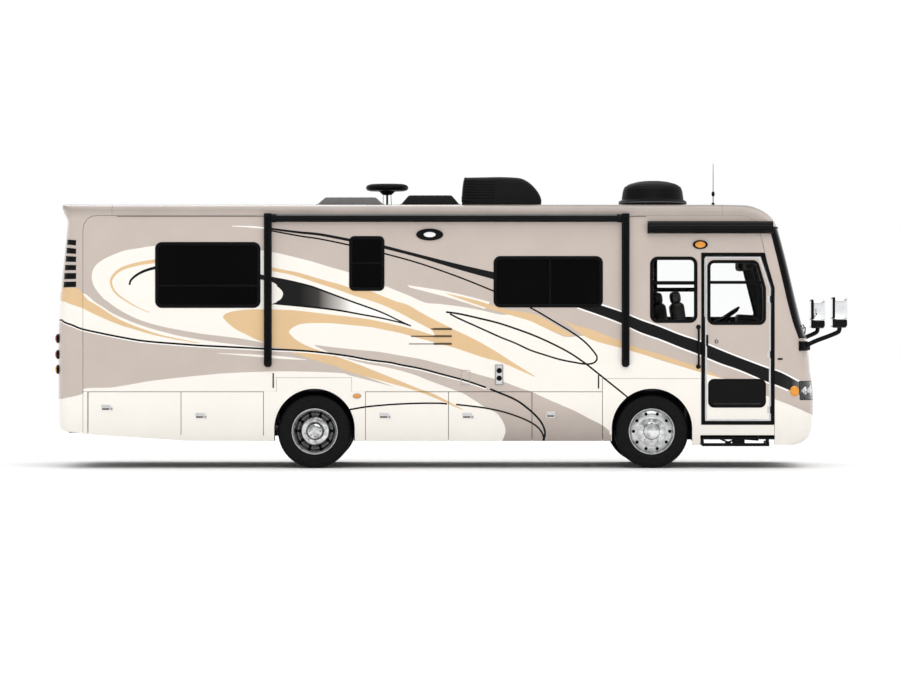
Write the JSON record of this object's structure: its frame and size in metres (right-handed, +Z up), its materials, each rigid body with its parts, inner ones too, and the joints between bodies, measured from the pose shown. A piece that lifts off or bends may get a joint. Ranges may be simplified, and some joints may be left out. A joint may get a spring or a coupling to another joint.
{
  "type": "motorhome",
  "caption": "Rear-engined coach motorhome with a hollow cabin, steered front wheels, twin rear wheels, opening entry door, sliding step, storage bay doors and engine hatch.",
  "frame": {"origin": "on the ground under the middle of the overall box", "axes": "+X forward, +Y to the left side, +Z up"},
  "size_m": [10.2996, 2.9292, 3.9995],
  "materials": {
    "frame_black": "semi-matt",
    "deck": "matt",
    "body_paint": "gloss",
    "body_cream": "gloss",
    "roof_paint": "gloss",
    "dark_glass": "polished",
    "clear_glass": "polished",
    "black_trim": "satin",
    "liner": "matt",
    "bay_tray": "matt",
    "axle_steel": "matt",
    "bellows": "matt",
    "engine_iron": "matt",
    "tank_metal": "satin",
    "dash_plastic": "matt",
    "seat_leather": "soft",
    "lamp_clear": "polished",
    "lamp_red": "gloss",
    "mirror_chrome": "polished",
    "awning_black": "satin",
    "roof_gear": "satin",
    "step_metal": "brushed",
    "tyre": "matt",
    "wheel_metal": "polished",
    "knuckle_iron": "matt"
  },
  "bodies": {
    "coach": {"chassis_frame": "frame_black", "floor": "deck", "right_wall": "body_paint", "left_wall": "body_paint", "skirts": "body_cream", "roof": "roof_paint", "front_cap": "body_cream", "rear_cap": "body_paint", "windscreen": "clear_glass", "window_frames": "black_trim", "window_glass": "dark_glass", "entry_door_frame": "black_trim", "stepwell": "liner", "storage_bays": "bay_tray", "wheel_wells": "liner", "front_axle": "axle_steel", "rear_axle": "axle_steel", "air_springs": "bellows", "engine": "engine_iron", "drive_shaft": "axle_steel", "fuel_tank": "tank_metal", "dashboard": "dash_plastic", "cab_seats": "seat_leather", "headlamps": "lamp_clear", "tail_lamps": "lamp_red", "mirrors": "mirror_chrome", "awnings": "awning_black", "roof_air_conditioners": "roof_gear", "roof_vents": "roof_gear", "roof_antennas": "roof_gear"},
    "steering_wheel": {"steering_wheel": "black_trim"},
    "entry_door": {"entry_door": "body_paint", "entry_door_glass": "clear_glass"},
    "entry_step": {"entry_step": "step_metal"},
    "right_bay_door_1": {"right_bay_door_1": "body_cream"},
    "right_bay_door_2": {"right_bay_door_2": "body_cream"},
    "right_bay_door_3": {"right_bay_door_3": "body_cream"},
    "right_bay_door_4": {"right_bay_door_4": "body_cream"},
    "right_bay_door_5": {"right_bay_door_5": "body_cream"},
    "left_bay_door_3": {"left_bay_door_3": "body_cream"},
    "left_bay_door_4": {"left_bay_door_4": "body_cream"},
    "left_bay_door_5": {"left_bay_door_5": "body_cream"},
    "engine_hatch": {"engine_hatch": "body_paint"},
    "right_knuckle": {"right_knuckle": "knuckle_iron"},
    "front_right_wheel": {"front_right_tyre": "tyre", "front_right_rim": "wheel_metal"},
    "rear_right_wheels": {"rear_right_tyres": "tyre", "rear_right_rims": "wheel_metal"},
    "left_knuckle": {"left_knuckle": "knuckle_iron"},
    "front_left_wheel": {"front_left_tyre": "tyre", "front_left_rim": "wheel_metal"},
    "rear_left_wheels": {"rear_left_tyres": "tyre", "rear_left_rims": "wheel_metal"}
  },
  "joints": [
    {"name": "right_steer", "type": "hinge", "parent": "coach", "child": "right_knuckle", "pos_m": [2.632, -0.88, 0.478], "axis": [0, 0, 1], "range_deg": [-40, 40]},
    {"name": "front_right_spin", "type": "hinge", "parent": "right_knuckle", "child": "front_right_wheel", "pos_m": [2.632, -1.055, 0.478], "axis": [0, 1, 0], "continuous": true},
    {"name": "rear_right_spin", "type": "hinge", "parent": "coach", "child": "rear_right_wheels", "pos_m": [-1.755, -0.904, 0.478], "axis": [0, 1, 0], "continuous": true},
    {"name": "left_steer", "type": "hinge", "parent": "coach", "child": "left_knuckle", "pos_m": [2.632, 0.88, 0.478], "axis": [0, 0, 1], "range_deg": [-40, 40]},
    {"name": "front_left_spin", "type": "hinge", "parent": "left_knuckle", "child": "front_left_wheel", "pos_m": [2.632, 1.055, 0.478], "axis": [0, 1, 0], "continuous": true},
    {"name": "rear_left_spin", "type": "hinge", "parent": "coach", "child": "rear_left_wheels", "pos_m": [-1.755, 0.904, 0.478], "axis": [0, 1, 0], "continuous": true},
    {"name": "steering_wheel_turn", "type": "hinge", "parent": "coach", "child": "steering_wheel", "pos_m": [3.725, 0.6, 1.98], "axis": [-0.5592, 0, 0.829], "range_deg": [-720, 720]},
    {"name": "entry_door_hinge", "type": "hinge", "parent": "coach", "child": "entry_door", "pos_m": [4.1825, -1.231, 1.48], "axis": [0, 0, 1], "range_deg": [0, 100]},
    {"name": "entry_step_slide", "type": "slide", "parent": "coach", "child": "entry_step", "axis": [0, -1, 0], "range_m": [0, 0.28]},
    {"name": "right_bay_hinge_1", "type": "hinge", "parent": "coach", "child": "right_bay_door_1", "pos_m": [-3.4995, -1.213, 0.68], "axis": [0, 0, 1], "range_deg": [0, 105]},
    {"name": "right_bay_hinge_2", "type": "hinge", "parent": "coach", "child": "right_bay_door_2", "pos_m": [-2.4275, -1.213, 0.68], "axis": [0, 0, 1], "range_deg": [0, 105]},
    {"name": "right_bay_hinge_3", "type": "hinge", "parent": "coach", "child": "right_bay_door_3", "pos_m": [-0.0225, -1.213, 0.68], "axis": [0, 0, 1], "range_deg": [0, 105]},
    {"name": "right_bay_hinge_4", "type": "hinge", "parent": "coach", "child": "right_bay_door_4", "pos_m": [1.0625, -1.213, 0.68], "axis": [0, 0, 1], "range_deg": [0, 105]},
    {"name": "right_bay_hinge_5", "type": "hinge", "parent": "coach", "child": "right_bay_door_5", "pos_m": [1.9795, -1.213, 0.68], "axis": [0, 0, 1], "range_deg": [0, 105]},
    {"name": "left_bay_hinge_3", "type": "hinge", "parent": "coach", "child": "left_bay_door_3", "pos_m": [-0.0225, 1.213, 0.68], "axis": [0, 0, -1], "range_deg": [0, 105]},
    {"name": "left_bay_hinge_4", "type": "hinge", "parent": "coach", "child": "left_bay_door_4", "pos_m": [1.0625, 1.213, 0.68], "axis": [0, 0, -1], "range_deg": [0, 105]},
    {"name": "left_bay_hinge_5", "type": "hinge", "parent": "coach", "child": "left_bay_door_5", "pos_m": [1.9795, 1.213, 0.68], "axis": [0, 0, -1], "range_deg": [0, 105]},
    {"name": "engine_hatch_hinge", "type": "hinge", "parent": "coach", "child": "engine_hatch", "pos_m": [-5.13, 0, 1.487], "axis": [0, 1, 0], "range_deg": [0, 80]}
  ],
  "couplings": [
    {"joint": "right_steer", "follows": "left_steer", "ratio": 1},
    {"joint": "steering_wheel_turn", "follows": "left_steer", "ratio": 18}
  ]
}
